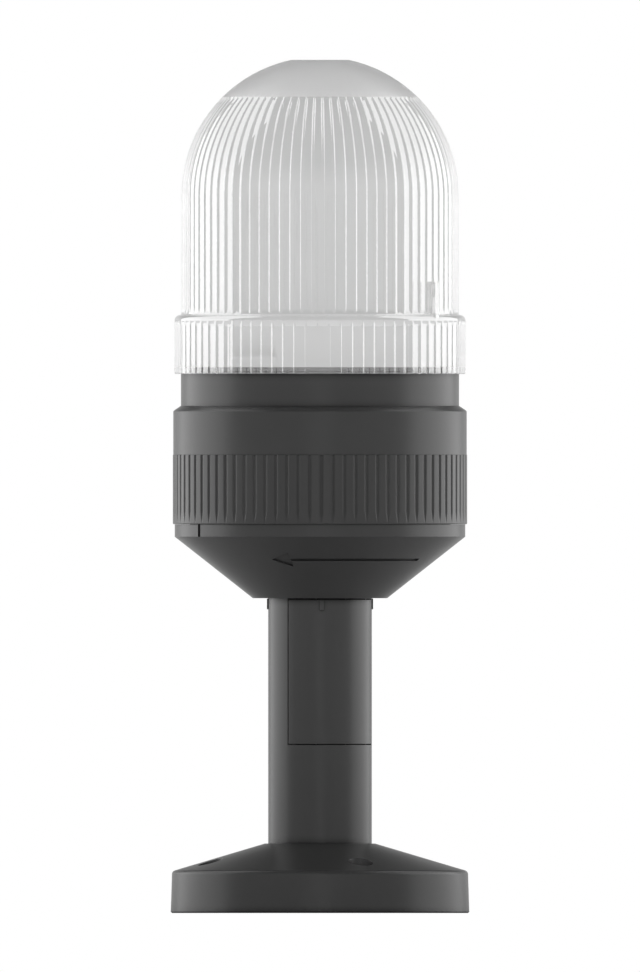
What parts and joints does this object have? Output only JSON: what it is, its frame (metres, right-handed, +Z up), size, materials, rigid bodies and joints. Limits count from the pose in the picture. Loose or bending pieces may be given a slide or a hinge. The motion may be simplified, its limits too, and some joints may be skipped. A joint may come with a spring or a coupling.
{
  "type": "xenon strobe beacon",
  "caption": "Domed ribbed clear lens on a dark round flash module with a fluted grip band, standing on a conical adapter, a slim pole and a round screw-down foot.",
  "frame": {"origin": "centre of the foot's underside, on the surface it is screwed to", "axes": "+Z up along the pole; the front of the beacon faces -Y and +X is to its right in the picture"},
  "size_m": [0.07, 0.07, 0.2],
  "materials": {
    "housing_plastic": "dark grey moulded plastic, satin",
    "clear_plastic": "clear moulded plastic, ribbed",
    "white_plastic": "white moulded plastic",
    "carrier_plastic": "grey moulded plastic",
    "seal_rubber": "black sealing rubber",
    "clear_silicone": "pale silicone",
    "screw_steel": "zinc-plated steel",
    "contact_brass": "bare brass",
    "board_laminate": "green circuit board laminate",
    "capacitor_sleeve": "dark shrink sleeve",
    "transformer_resin": "potted resin",
    "film_resin": "dipped resin",
    "resistor_ceramic": "white cement body",
    "choke_winding": "enamelled copper winding between ferrite flanges",
    "tube_glass": "clear glass",
    "electrode_metal": "bare nickel"
  },
  "bodies": {
    "stand": {"mounting_foot": "housing_plastic", "foot_gasket": "seal_rubber", "pole_foot_screws": "screw_steel", "pole_tube": "housing_plastic", "cone_adapter": "housing_plastic", "joint_seal": "seal_rubber", "pole_adapter_screws": "screw_steel", "terminal_carrier": "carrier_plastic", "terminal_clamp_1": "contact_brass", "terminal_clamp_2": "contact_brass", "terminal_screws": "screw_steel", "contact_spring_1": "contact_brass", "contact_spring_2": "contact_brass"},
    "cover": {"pole_cover": "housing_plastic"},
    "module": {"module_housing": "housing_plastic", "contact_pin_1": "contact_brass", "contact_pin_2": "contact_brass", "circuit_board": "board_laminate", "board_screws": "screw_steel", "flash_capacitor": "capacitor_sleeve", "trigger_transformer": "transformer_resin", "film_capacitor": "film_resin", "power_resistor": "resistor_ceramic", "charging_choke": "choke_winding", "lamp_tray": "white_plastic", "lens_seal": "clear_silicone", "tube_pedestal": "white_plastic", "flash_tube": "tube_glass", "tube_electrodes": "electrode_metal", "trigger_wire": "electrode_metal", "tube_leads": "electrode_metal"},
    "lens_body": {"lens": "clear_plastic"}
  },
  "joints": [
    {"name": "cover_slide", "type": "slide", "parent": "stand", "child": "cover", "axis": [0.3665, -0.9304, 0], "range_m": [0, 0.03]},
    {"name": "module_twist", "type": "hinge", "parent": "stand", "child": "module", "pos_m": [0, 0, 0.0912], "axis": [0, 0, 1], "range_deg": [0, 30]},
    {"name": "lens_twist", "type": "hinge", "parent": "module", "child": "lens_body", "pos_m": [0, 0, 0.128], "axis": [0, 0, 1], "range_deg": [0, 30]}
  ]
}
